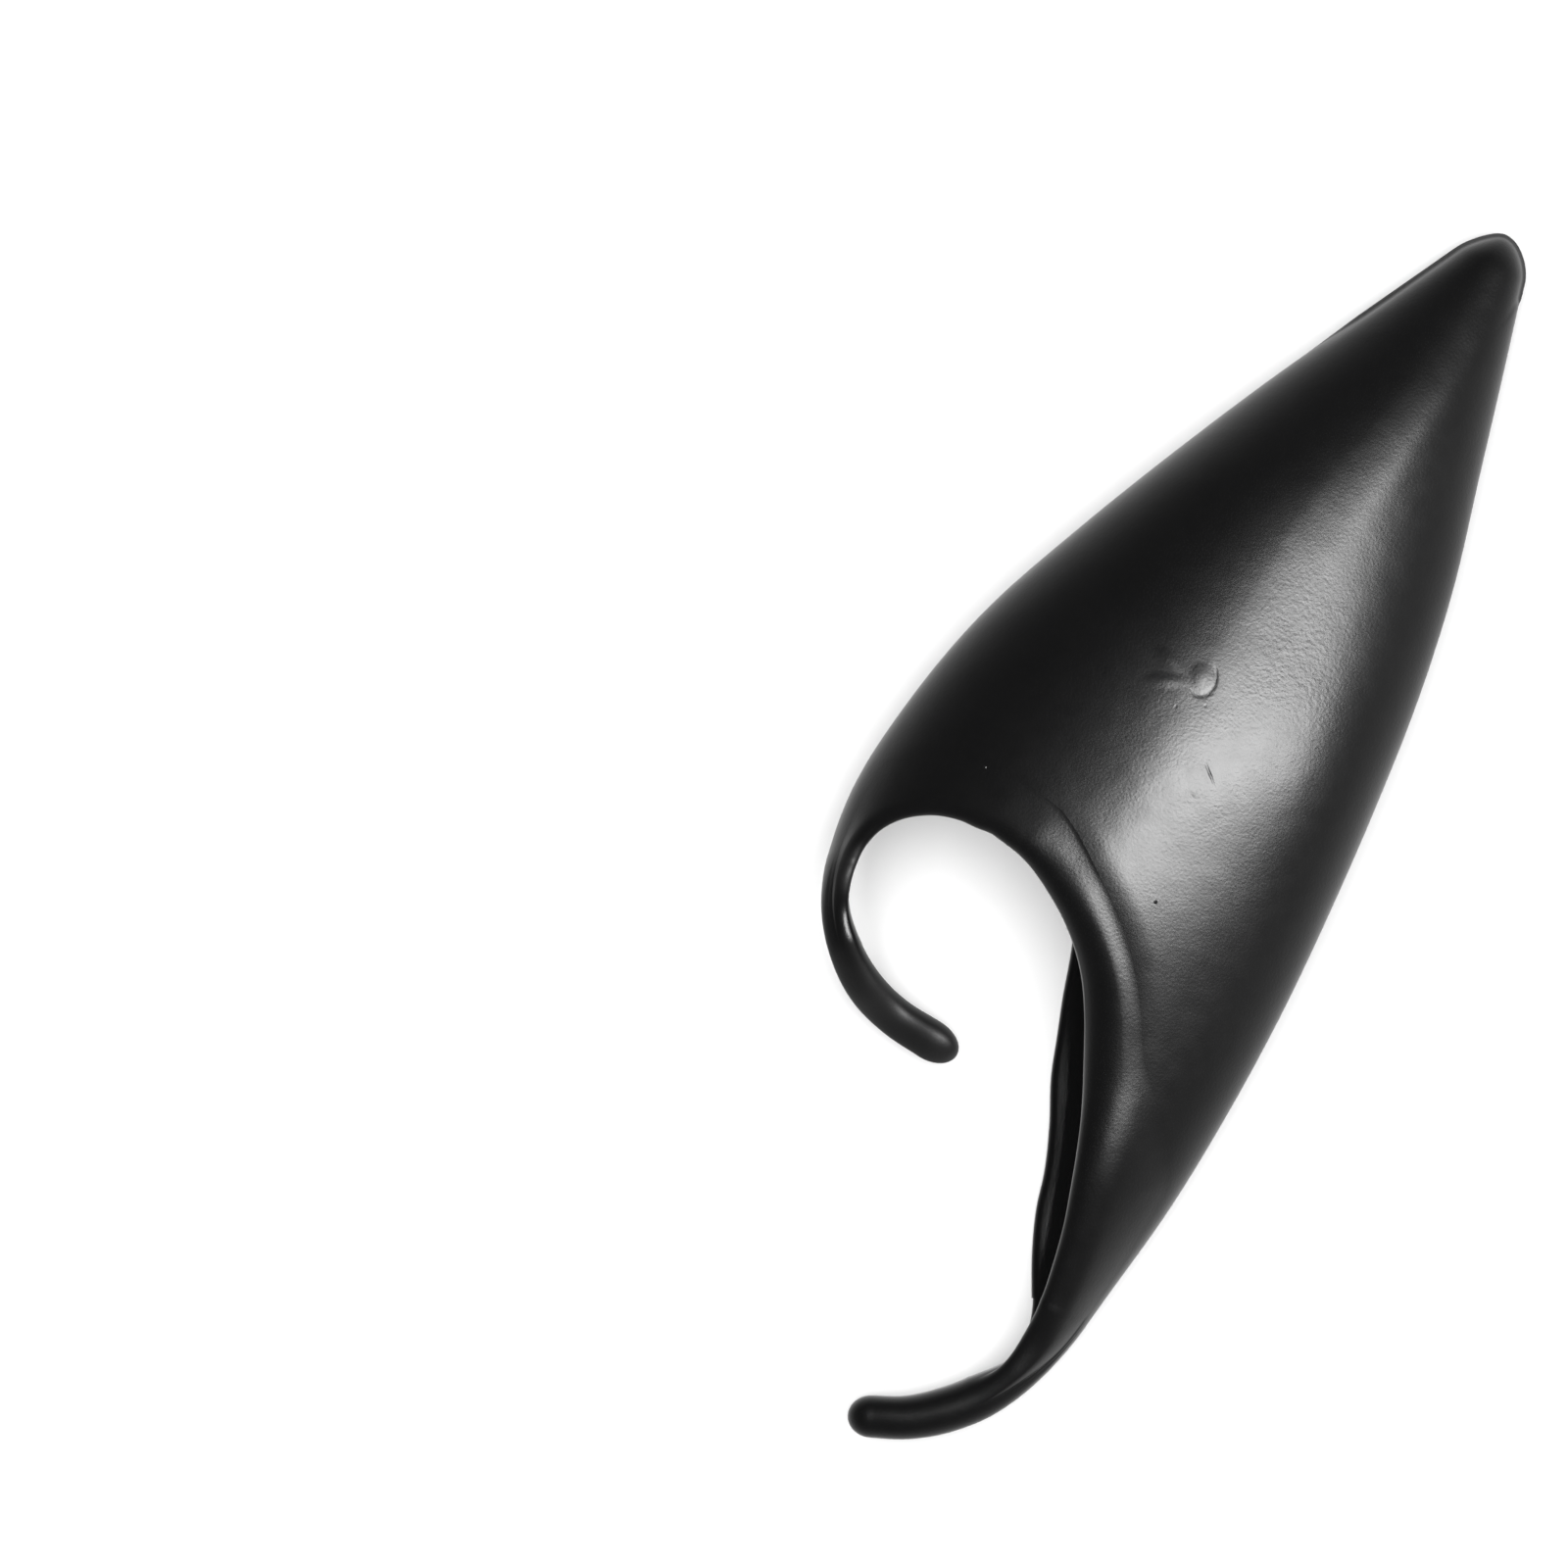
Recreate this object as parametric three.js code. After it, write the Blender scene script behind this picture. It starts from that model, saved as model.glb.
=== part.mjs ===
// A slip-on elf ear tip: one hollow moulding of black latex that a wearer pulls over the top of an ear.
// It lies on its back with +Z up. +Y runs along the ear to its point and +X to the ear's rear edge.
// The front and back panels meet in an outer fold. The mouth between them is where the wearer's ear goes in.
// Below the body the fold runs on as two arms: a short hook at the front and a long tail at the rear.
// The solid is one closed section carried from the hook's end round the point of the ear to the tail's end:
// front panel, rolled lip, hollow inside, plain back edge and back panel. Millimetres.
import * as THREE from "three";

// Driving dimensions
const earLength = 120; // point to the tail's lowest place
const earWidth = 42.4; // across the body, square to the length
const frontRise = 12; // front panel's crest above the outer fold, at its highest
const backDrop = 7.4; // back panel's depth below the outer fold, at its deepest
const wall = 1.4; // latex thickness of the panels
const lipWidth = 5; // rolled lip at its widest, along the panel
const lipThickness = 3.1; // rolled lip at its widest, through the panel
const lipLift = 0.4; // how far the roll's middle stands proud of the panel's middle
const lipTurn = 18; // degrees that the roll turns in and down towards the mouth
const backEdgeThickness = 1.4; // plain rounded edge of the back panel
const hookWidth = 3.6; // hook near its end, seen from the front
const hookThickness = 4.2; // hook near its end, front to back
const tailWidth = 4; // tail near its end, seen from the front
const tailThickness = 4.2; // tail near its end, front to back
const pointRounding = 3; // length of the rounded cap at the ear's point
const pointSolid = 6; // solid latex between the cavity and the point
const mouthDip = 1.3; // how far the front panel sinks before the rolled lip
const mouthDipReach = 6.5; // width of that sunken band, from the mouth's edge

// How full the panels are: 2 is an ellipse, more is flatter in the middle
const frontFullness = 2;
const backFullness = 3;

// Facets
const stepsPerRib = 2; // sections between two rows of the rib tables
const panelSteps = 10; // outside of a panel, fold to mouth
const insideSteps = 7; // inside of a panel, mouth to fold
const lipSteps = 8;
const backEdgeSteps = 4;
const endSteps = 4; // rings that round off an arm's end

// Reads a table: a line of column names, then a row of numbers for each section or rib.
function table(columns, rows) {
  const read = {};
  columns.split(" ").forEach((name, place) => {
    read[name] = rows.map((row) => row[place]);
  });
  return read;
}

// Across is a share of earWidth from the ear's axis. Along is a share of earLength from the tail's lowest place.
// A section of the body for each twelfth of the length, from the point down. left and right are the outer fold,
// crest is the highest line of the panels, rise and drop are shares of frontRise and backDrop, and rear is how
// full the front panel is between the crest and the rear fold.
const sectionStep = 1 / 12;
const sections = table("left right crest rise drop rear", [
  [0.057, 0.158, 0.100, 0.22, 0.34, 1.90],
  [-0.071, 0.215, 0.069, 0.43, 0.53, 1.84],
  [-0.200, 0.270, 0.022, 0.63, 0.70, 1.68],
  [-0.318, 0.325, -0.036, 0.79, 0.84, 1.64],
  [-0.427, 0.361, -0.058, 0.88, 0.93, 1.76],
  [-0.523, 0.381, -0.076, 0.95, 0.98, 1.92],
  [-0.581, 0.393, -0.092, 0.98, 1.00, 1.84],
  [-0.604, 0.398, -0.103, 1.00, 0.97, 1.74],
  [-0.562, 0.391, -0.053, 0.90, 0.88, 1.78],
  [-0.470, 0.372, 0.038, 0.74, 0.73, 1.88],
  [-0.380, 0.336, 0.153, 0.49, 0.54, 1.92],
  [-0.290, 0.301, 0.203, 0.28, 0.36, 1.94],
]);

// Hook ribs, from the hook's end to where the body begins. frontAcross and frontAlong are the mouth's front edge.
// width is a share of hookWidth, reach of hookWidth too: how far in from the fold the panels are highest.
// rise and drop are shares of hookThickness, lip of the rolled lip. hollow is 1 where the section is the body's
// grooved one and 0 where it has filled up to a plain round one, whose underside is at lift.
const hook = table("frontAcross frontAlong width reach rise drop lip hollow lift", [
  [-0.223, 0.299, 1.00, 0.56, 0.50, 0.50, 0.64, 0.0, 0.00],
  [-0.307, 0.302, 0.97, 0.72, 0.63, 0.57, 0.61, 0.0, 0.07],
  [-0.382, 0.311, 0.94, 1.11, 0.98, 0.83, 0.55, 0.0, 0.60],
  [-0.450, 0.327, 0.83, 1.94, 1.30, 1.09, 0.49, 0.0, 1.20],
  [-0.500, 0.349, 0.76, 3.61, 1.56, 1.24, 0.46, 0.3, 1.45],
]);

// Body ribs, from the hook round the point to the tail. Each joins a place on the mouth's front edge and one on
// its back edge to the outer fold, whose place is foldAlong. The rows down to the point lie on the left side.
const pointRow = 9;
const body = table("frontAcross frontAlong backAcross backAlong foldAlong lip", [
  [-0.524, 0.377, -0.535, 0.377, 0.375, 0.46],
  [-0.517, 0.400, -0.526, 0.408, 0.429, 0.48],
  [-0.486, 0.418, -0.495, 0.435, 0.517, 0.51],
  [-0.436, 0.431, -0.441, 0.453, 0.617, 0.55],
  [-0.384, 0.437, -0.382, 0.464, 0.725, 0.57],
  [-0.342, 0.438, -0.335, 0.469, 0.833, 0.59],
  [-0.311, 0.439, -0.300, 0.471, 0.917, 0.60],
  [-0.290, 0.438, -0.276, 0.471, 0.967, 0.61],
  [-0.274, 0.437, -0.257, 0.470, 0.992, 0.61],
  [-0.259, 0.436, -0.241, 0.469, 1.000, 0.62],
  [-0.245, 0.435, -0.224, 0.467, 0.992, 0.63],
  [-0.226, 0.433, -0.203, 0.464, 0.967, 0.65],
  [-0.198, 0.429, -0.172, 0.458, 0.908, 0.68],
  [-0.156, 0.421, -0.132, 0.447, 0.817, 0.73],
  [-0.104, 0.409, -0.094, 0.429, 0.717, 0.80],
  [-0.052, 0.393, -0.064, 0.407, 0.613, 0.88],
  [-0.007, 0.374, -0.040, 0.382, 0.517, 0.95],
  [0.033, 0.350, -0.019, 0.356, 0.437, 0.99],
  [0.070, 0.323, 0.007, 0.328, 0.379, 1.00],
  [0.105, 0.295, 0.035, 0.298, 0.333, 1.00],
  [0.134, 0.266, 0.075, 0.267, 0.293, 0.98],
  [0.160, 0.236, 0.108, 0.236, 0.257, 0.93],
  [0.183, 0.207, 0.130, 0.206, 0.221, 0.87],
  [0.200, 0.178, 0.163, 0.176, 0.186, 0.79],
  [0.211, 0.150, 0.203, 0.147, 0.152, 0.71],
]);

// Tail ribs, from the body to the tail's end, with the hook's columns as shares of tailWidth and tailThickness.
const tail = table("frontAcross frontAlong width reach rise drop lip hollow lift", [
  [0.209, 0.123, 1.09, 0.95, 0.93, 0.71, 0.69, 0.8, 0.30],
  [0.191, 0.097, 0.99, 0.65, 0.80, 0.66, 0.67, 0.3, 0.10],
  [0.156, 0.074, 0.98, 0.58, 0.70, 0.60, 0.66, 0.0, 0.00],
  [0.105, 0.055, 0.99, 0.55, 0.61, 0.57, 0.65, 0.0, 0.00],
  [0.055, 0.041, 0.95, 0.53, 0.55, 0.53, 0.65, 0.0, 0.00],
  [-0.004, 0.031, 0.93, 0.53, 0.49, 0.48, 0.65, 0.0, 0.00],
]);

const hookRows = hook.width.length;
const bodyRows = body.lip.length;
const tailRows = tail.width.length;
const lastRow = hookRows + bodyRows + tailRows - 1;

// Where the section is anywhere between the rows: a smooth curve through evenly spaced values.
function through(values, place) {
  const last = values.length - 1;
  const row = Math.min(Math.max(Math.floor(place), 0), last - 1);
  const t = place - row;
  const before = values[Math.max(row - 1, 0)];
  const from = values[row];
  const to = values[row + 1];
  const after = values[Math.min(row + 2, last)];
  const slopeFrom = row === 0 ? to - from : (to - before) / 2;
  const slopeTo = row + 1 === last ? to - from : (after - from) / 2;
  const square = t * t;
  const cube = square * t;
  return (2 * cube - 3 * square + 1) * from + (cube - 2 * square + t) * slopeFrom
    + (3 * square - 2 * cube) * to + (cube - square) * slopeTo;
}

// Quarter of a rounded section: 0 at the fold, 1 where the panel is highest, level beyond it.
function swell(share, fullness) {
  const left = 1 - Math.min(Math.max(share, 0), 1);
  return (1 - left ** fullness) ** (1 / fullness);
}

// The body's section at a height along the ear, for a surface that lies inset under the outside.
function sectionAt(y, inset) {
  const place = (1 - y / earLength) / sectionStep;
  const pick = (column) => through(sections[column], place);
  const top = earLength - (pointSolid * inset) / wall;
  const cap = swell((top - y) / pointRounding, 2);
  const crest = pick("crest") * earWidth;
  return {
    crest,
    left: (crest - pick("left") * earWidth - inset) * cap,
    right: (pick("right") * earWidth - crest - inset) * cap,
    rise: (pick("rise") * frontRise - inset) * cap,
    drop: (pick("drop") * backDrop - inset) * cap,
    rear: pick("rear"),
    fold: pick("drop") * backDrop,
  };
}

// Height of a body panel over a place in the plan.
function panelHeight(point, front, inset) {
  const at = sectionAt(point.y, inset);
  const side = point.x < at.crest ? -1 : 1;
  const reach = side < 0 ? at.left : at.right;
  const fromFold = reach - side * (point.x - at.crest);
  const share = reach > 0 ? fromFold / reach : 0;
  return front
    ? at.fold + at.rise * swell(share, side < 0 ? frontFullness : at.rear)
    : at.fold - at.drop * swell(share, backFullness);
}

// The places of all mouth ribs, hook first, as one smooth curve in the plan.
const mouth = {
  frontX: [...hook.frontAcross, ...body.frontAcross, ...tail.frontAcross].map((share) => share * earWidth),
  frontY: [...hook.frontAlong, ...body.frontAlong, ...tail.frontAlong].map((share) => share * earLength),
  backX: body.backAcross.map((share) => share * earWidth),
  backY: body.backAlong.map((share) => share * earLength),
  lip: [...hook.lip, ...body.lip, ...tail.lip],
};
const curveStep = 0.5; // how far along the ribs, either way, an edge's direction is measured, in rows

function frontEdge(place) {
  return new THREE.Vector2(through(mouth.frontX, place), through(mouth.frontY, place));
}

// Away from the mouth, square to a curve that runs from hook to tail.
function outward(curve, place) {
  const ahead = curve(Math.min(place + curveStep, lastRow));
  const behind = curve(Math.max(place - curveStep, 0));
  const run = ahead.sub(behind).normalize();
  return new THREE.Vector2(-run.y, run.x);
}

// The rib at a place along the body: fold, mouth edges, and the way the rib leaves each edge.
function bodyRib(place) {
  const row = place - hookRows;
  const side = row < pointRow ? -1 : 1;
  const y = Math.min(through(body.foldAlong, row), 1) * earLength;
  const at = sectionAt(y, 0);
  const backEdge = (where) => new THREE.Vector2(
    through(mouth.backX, where - hookRows), through(mouth.backY, where - hookRows));
  // the cavity's own fold lies under the outer one, and well below it at the ear's point
  const sink = pointSolid * Math.max(y / earLength - body.frontAlong[pointRow], 0) ** 2
    / (1 - body.frontAlong[pointRow]) ** 2;
  const under = sectionAt(y - sink, wall);
  return {
    fold: new THREE.Vector2(at.crest + side * (side < 0 ? at.left : at.right), y),
    insideFold: new THREE.Vector2(under.crest + side * (side < 0 ? under.left : under.right), y - sink),
    foldHeight: at.fold,
    insideFoldHeight: under.fold,
    frontEdge: frontEdge(place),
    frontOut: outward(frontEdge, place),
    backEdge: backEdge(place),
    backOut: outward(backEdge, place),
    hollow: 1,
    height: panelHeight,
  };
}

// What the body's section is at the row where an arm takes over from it, in the arm's own columns.
function armStart(place) {
  const rib = bodyRib(place);
  const side = place - hookRows < pointRow ? -1 : 1;
  const at = sectionAt(rib.fold.y, 0);
  return {
    width: rib.frontEdge.distanceTo(rib.fold),
    back: rib.backEdge.distanceTo(rib.fold),
    reach: side < 0 ? at.left : at.right,
    rise: at.rise,
    drop: at.drop,
  };
}

// An arm's columns in millimetres, with the body's section joined on where they meet.
function armColumns(rows, width, thickness, backShare, start, startFirst) {
  const column = (values, size, own) => {
    const made = values.map((share) => share * size);
    return startFirst ? [own, ...made] : [...made, own];
  };
  return {
    width: column(rows.width, width, start.width),
    back: column(rows.width, width * backShare, start.back),
    reach: column(rows.reach, width, start.reach),
    rise: column(rows.rise, thickness, start.rise),
    drop: column(rows.drop, thickness, start.drop),
    hollow: column(rows.hollow, 1, 1),
    lift: column(rows.lift, thickness, start.drop),
  };
}

const armBackShare = 0.9; // the arms' back edge lies this share of their width in from the fold
const hookColumns = armColumns(hook, hookWidth, hookThickness, armBackShare, armStart(hookRows), false);
const tailStart = hookRows + bodyRows - 1;
const tailColumns = armColumns(tail, tailWidth, tailThickness, armBackShare, armStart(tailStart), true);

// The rib at a place along an arm: straight across it, square to the mouth's front edge.
function armRib(place, columns, firstRow) {
  const pick = (column) => through(columns[column], place - firstRow);
  const out = outward(frontEdge, place);
  const edge = frontEdge(place);
  const fold = edge.clone().addScaledVector(out, pick("width"));
  const [reach, rise, drop] = [pick("reach"), pick("rise"), pick("drop")];
  return {
    fold,
    insideFold: fold.clone().addScaledVector(out, -wall),
    foldHeight: drop,
    insideFoldHeight: drop,
    frontEdge: edge,
    frontOut: out,
    backEdge: fold.clone().addScaledVector(out, -pick("back")),
    backOut: out,
    hollow: pick("hollow"),
    roundMiddle: fold.clone().addScaledVector(out, -pick("width") / 2),
    roundHalf: pick("width") / 2,
    roundTop: rise + drop,
    underside: Math.max(pick("lift"), 0),
    height: (point, front, inset) => {
      const share = (fold.clone().sub(point).dot(out) - inset) / (reach - inset);
      return front
        ? drop + (rise - inset) * swell(share, frontFullness)
        : drop - (drop - inset) * swell(share, backFullness);
    },
  };
}

function ribAt(place) {
  if (place < hookRows) return armRib(place, hookColumns, 0);
  if (place > tailStart) return armRib(place, tailColumns, tailStart);
  return bodyRib(place);
}

// How far the front panel has sunk at a distance from the mouth's edge.
function dipAt(distance) {
  const share = Math.min(distance / mouthDipReach, 1);
  return mouthDip * (1 - share * share * (3 - 2 * share));
}

const leanProbe = 0.2; // length over which a panel's slope at the mouth is measured
const lipTurnReach = 3; // the roll turns in fully where the panel is this many times as wide as lipWidth
const lipTurnStarts = 0.45; // and where the roll has grown from this share of its full size
const lipTurnEnds = 0.75; // to this one
const ribBend = 0.35; // how much of its length a rib that is square to the mouth's edge takes to bend
// degrees round an arm's end at which panel, lip, hollow, back edge and back panel start
const roundTurns = [0, 80, 150, 250, 290, 360];

// A panel from its outer fold to the mouth: points outside, round the edge, and back inside.
function panelPoints(rib, front, lip) {
  const edge = front ? rib.frontEdge : rib.backEdge;
  const out = front ? rib.frontOut : rib.backOut;
  const up = front ? 1 : -1;
  const width = edge.distanceTo(rib.fold);
  const [halfWidth, halfThick] = [lip.width / 2, lip.thickness / 2];
  const heightAt = (point, inset) => {
    const dip = front ? dipAt(point.distanceTo(edge)) * Math.min(width / mouthDipReach, 1) : 0;
    return rib.height(point, front, inset) - dip;
  };
  // the roll hangs from the middle of the latex, leans with the panel and turns in towards the mouth
  const middleOf = (distance) => heightAt(edge.clone().addScaledVector(out, distance), wall / 2);
  const panelLean = Math.atan2(middleOf(halfWidth) - middleOf(halfWidth + leanProbe), leanProbe);
  const turnedIn = lip.turned * THREE.MathUtils.smoothstep(width, lipWidth, lipTurnReach * lipWidth);
  const lean = panelLean - up * turnedIn * THREE.MathUtils.degToRad(lipTurn);
  const extent = Math.hypot(halfWidth * Math.cos(lean), halfThick * Math.sin(lean));
  const middle = edge.clone().addScaledVector(out, extent);
  const along = [-Math.cos(lean), Math.sin(lean)];
  const away = [Math.sin(lean) * up, Math.cos(lean) * up];
  const hang = turnedIn * halfWidth;
  const middleHeight = middleOf(extent + hang * Math.cos(lean)) + hang * Math.sin(lean);
  const place = (run, stand) => {
    const flat = middle.clone().addScaledVector(out, along[0] * run + away[0] * stand);
    return new THREE.Vector3(flat.x, flat.y, middleHeight + along[1] * run + away[1] * stand);
  };
  const startAngle = Math.PI - Math.asin(Math.min((wall / 2 - lip.lift) / halfThick, 1));
  const endAngle = Math.asin(Math.min((wall / 2 + lip.lift) / halfThick, 1)) - Math.PI;
  const edgePoints = [];
  for (let step = 0; step <= lip.steps; step += 1) {
    const angle = startAngle + ((endAngle - startAngle) * step) / lip.steps;
    edgePoints.push(place(halfWidth * Math.cos(angle), halfThick * Math.sin(angle) + lip.lift));
  }
  // a rib bends so that it leaves the mouth square to its edge, and less where it runs along the fold
  const stretch = (from, to, inset, steps, fromHeight) => {
    const end = new THREE.Vector2(to.x, to.y);
    const run = from.clone().sub(end);
    const bend = end.clone().addScaledVector(out, (ribBend * Math.max(run.dot(out), 0) ** 2) / run.length());
    const points = [];
    for (let step = 0; step < steps; step += 1) {
      const t = 1 - Math.cos((step / steps) * (Math.PI / 2));
      const x = (1 - t) ** 2 * from.x + 2 * t * (1 - t) * bend.x + t * t * end.x;
      const y = (1 - t) ** 2 * from.y + 2 * t * (1 - t) * bend.y + t * t * end.y;
      const z = step === 0 ? fromHeight : heightAt(new THREE.Vector2(x, y), inset);
      points.push(new THREE.Vector3(x, y, z));
    }
    return points;
  };
  const outside = stretch(rib.fold, edgePoints[0], 0, panelSteps, rib.foldHeight);
  const lastEdge = edgePoints[edgePoints.length - 1];
  const inside = stretch(rib.insideFold, lastEdge, wall, insideSteps, rib.insideFoldHeight);
  return { outside, edgePoints, inside };
}

// The whole closed section at one place along the ribs, as a ring of points.
function ringAt(place) {
  const rib = ribAt(place);
  const share = through(mouth.lip, place);
  const front = panelPoints(rib, true, {
    width: lipWidth * share,
    thickness: lipThickness * share,
    lift: lipLift * share,
    turned: rib.hollow * THREE.MathUtils.smoothstep(share, lipTurnStarts, lipTurnEnds),
    steps: lipSteps,
  });
  const back = panelPoints(rib, false, {
    width: backEdgeThickness,
    thickness: backEdgeThickness,
    lift: 0,
    turned: 0,
    steps: backEdgeSteps,
  });
  const inside = [...front.inside.toReversed(), ...back.inside.slice(1)];
  const groups = [front.outside, front.edgePoints, inside,
    back.edgePoints.toReversed(), back.outside.slice(1).toReversed()];
  if (rib.hollow >= 1) return groups.flat();
  // towards its end an arm fills up to a plain section, half round above and below
  const tall = Math.min(rib.roundHalf, (rib.roundTop - rib.underside) / 2);
  return groups.flatMap((group, index) => group.map((point, step) => {
    const from = roundTurns[index];
    const turn = THREE.MathUtils.degToRad(from + ((roundTurns[index + 1] - from) * step) / group.length);
    const flat = rib.roundMiddle.clone().addScaledVector(rib.frontOut, rib.roundHalf * Math.cos(turn));
    const middle = turn < Math.PI ? rib.roundTop - tall : rib.underside + tall;
    const filled = new THREE.Vector3(flat.x, flat.y, middle + tall * Math.sin(turn));
    return point.lerp(filled, 1 - Math.max(rib.hollow, 0));
  }));
}

// Rings that close an arm with a round end.
function roundedEnd(ring, towards) {
  const centre = new THREE.Box3().setFromPoints(ring).getCenter(new THREE.Vector3());
  const radius = Math.max(...ring.map((point) => point.distanceTo(centre)));
  const rings = [];
  for (let step = 1; step < endSteps; step += 1) {
    const turn = (step / endSteps) * (Math.PI / 2);
    rings.push(ring.map((point) => centre.clone().addScaledVector(towards, radius * Math.sin(turn))
      .addScaledVector(point.clone().sub(centre), Math.cos(turn))));
  }
  return { rings, pole: centre.clone().addScaledVector(towards, radius) };
}

function directionAtEnd(place, beyond) {
  const run = frontEdge(place).sub(frontEdge(beyond)).normalize();
  return new THREE.Vector3(run.x, run.y, 0);
}

// Joins the rings and the two poles into one closed mesh.
function shellGeometry() {
  const rings = [];
  for (let step = 0; step <= lastRow * stepsPerRib; step += 1) {
    rings.push(ringAt(step / stepsPerRib));
  }
  const hookEnd = roundedEnd(rings[0], directionAtEnd(0, curveStep));
  const tailEnd = roundedEnd(rings[rings.length - 1], directionAtEnd(lastRow, lastRow - curveStep));
  const all = [...hookEnd.rings.toReversed(), ...rings, ...tailEnd.rings];
  const count = all[0].length;
  const points = [...all.flat(), hookEnd.pole, tailEnd.pole];
  const faces = [];
  for (let ring = 0; ring < all.length - 1; ring += 1) {
    for (let spot = 0; spot < count; spot += 1) {
      const next = (spot + 1) % count;
      const [a, b] = [ring * count + spot, ring * count + next];
      const [c, d] = [(ring + 1) * count + next, (ring + 1) * count + spot];
      faces.push(a, b, c, a, c, d);
    }
  }
  const [hookPole, tailPole] = [points.length - 2, points.length - 1];
  const lastRing = (all.length - 1) * count;
  for (let spot = 0; spot < count; spot += 1) {
    const next = (spot + 1) % count;
    faces.push(hookPole, next, spot, tailPole, lastRing + spot, lastRing + next);
  }
  const geometry = new THREE.BufferGeometry();
  geometry.setAttribute("position", new THREE.Float32BufferAttribute(points.flatMap((p) => p.toArray()), 3));
  geometry.setIndex(faces);
  geometry.computeBoundingBox();
  const box = geometry.boundingBox;
  const centre = box.getCenter(new THREE.Vector3());
  geometry.translate(-centre.x, -centre.y, -box.min.z);
  geometry.computeVertexNormals();
  return geometry;
}

const latex = new THREE.MeshStandardMaterial({ color: 0x171717, roughness: 0.38, metalness: 0 });
const shell = new THREE.Mesh(shellGeometry(), latex);
shell.name = "ear_tip_shell";

const earTip = new THREE.Group();
earTip.add(shell);

export default earTip;
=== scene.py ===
import math

import bpy
import numpy as np
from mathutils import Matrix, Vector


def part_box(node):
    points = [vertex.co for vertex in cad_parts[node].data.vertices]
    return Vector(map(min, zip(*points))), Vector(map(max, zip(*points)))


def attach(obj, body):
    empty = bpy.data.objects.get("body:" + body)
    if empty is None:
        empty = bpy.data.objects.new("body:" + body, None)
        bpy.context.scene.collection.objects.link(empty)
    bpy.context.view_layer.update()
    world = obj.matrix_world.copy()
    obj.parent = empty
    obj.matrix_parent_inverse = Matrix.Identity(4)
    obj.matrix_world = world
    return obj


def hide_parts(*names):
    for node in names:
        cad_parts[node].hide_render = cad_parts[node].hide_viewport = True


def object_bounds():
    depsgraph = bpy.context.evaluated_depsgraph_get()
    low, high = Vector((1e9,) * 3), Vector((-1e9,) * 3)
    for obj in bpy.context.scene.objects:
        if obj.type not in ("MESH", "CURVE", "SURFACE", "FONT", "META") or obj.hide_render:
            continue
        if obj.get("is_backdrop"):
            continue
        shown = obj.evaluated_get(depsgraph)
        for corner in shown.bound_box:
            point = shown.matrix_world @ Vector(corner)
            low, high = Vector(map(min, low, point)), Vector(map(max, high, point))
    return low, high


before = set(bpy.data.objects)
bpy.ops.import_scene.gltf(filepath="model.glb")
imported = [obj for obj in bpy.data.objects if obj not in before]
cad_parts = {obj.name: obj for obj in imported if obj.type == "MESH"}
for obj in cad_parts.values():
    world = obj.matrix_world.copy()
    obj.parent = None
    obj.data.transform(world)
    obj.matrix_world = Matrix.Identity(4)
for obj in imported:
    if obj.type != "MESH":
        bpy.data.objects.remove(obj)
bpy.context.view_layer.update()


# Ear tip shell
# The real piece is one slip-on moulding of black latex, poured in a mould and peeled off: a hollow, pointed
# pocket with a rolled lip round the front of its mouth, a plain edge at the back, and two solid arms.
# Its section is carried from the hook's end, round the point of the ear, to the tail's end.

MM = 0.001
shell_low, shell_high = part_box("ear_tip_shell")
ear_width = 42.4 * MM  # across the body, square to the length
ear_length = 120 * MM  # point to the tail's lowest place
front_rise = 12 * MM  # front panel's crest above the outer fold, at its highest
back_drop = 7.4 * MM  # back panel's depth below the outer fold, at its deepest
wall = 1.4 * MM
lip_width = 5 * MM
lip_thickness = 3.1 * MM
lip_lift = 0.4 * MM
lip_turn = math.radians(18)
back_edge = 1.4 * MM
hook_width = 3.6 * MM
hook_thickness = 4.2 * MM
tail_width = 4 * MM
tail_thickness = 4.2 * MM
point_rounding = 3 * MM
point_solid = 6 * MM
mouth_dip = 1.3 * MM
mouth_dip_reach = 6.5 * MM
front_fullness = 2
back_fullness = 3
arm_back_share = 0.9
lip_turn_reach = 3
lip_turn_starts = 0.45
lip_turn_ends = 0.75
rib_bend = 0.35
round_turns = [0, 80, 150, 250, 290, 360]  # degrees round an arm's end: panel, lip, hollow, back edge, back


def columns(names, rows):
    """A table's columns by name, from its rows."""
    return dict(zip(names.split(), np.array(rows, dtype=float).T))


# Across is a share of ear_width from the ear's axis, along a share of ear_length from the tail's lowest
# place. A section for each twelfth of the length, from the point down: left and right are the outer fold, and
# rear is how full the front panel is between the crest and the rear fold.
sections = columns("left right crest rise drop rear", [
    [0.057, 0.158, 0.100, 0.22, 0.34, 1.90],
    [-0.071, 0.215, 0.069, 0.43, 0.53, 1.84],
    [-0.200, 0.270, 0.022, 0.63, 0.70, 1.68],
    [-0.318, 0.325, -0.036, 0.79, 0.84, 1.64],
    [-0.427, 0.361, -0.058, 0.88, 0.93, 1.76],
    [-0.523, 0.381, -0.076, 0.95, 0.98, 1.92],
    [-0.581, 0.393, -0.092, 0.98, 1.00, 1.84],
    [-0.604, 0.398, -0.103, 1.00, 0.97, 1.74],
    [-0.562, 0.391, -0.053, 0.90, 0.88, 1.78],
    [-0.470, 0.372, 0.038, 0.74, 0.73, 1.88],
    [-0.380, 0.336, 0.153, 0.49, 0.54, 1.92],
    [-0.290, 0.301, 0.203, 0.28, 0.36, 1.94],
])
section_step = 1 / 12

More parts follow.
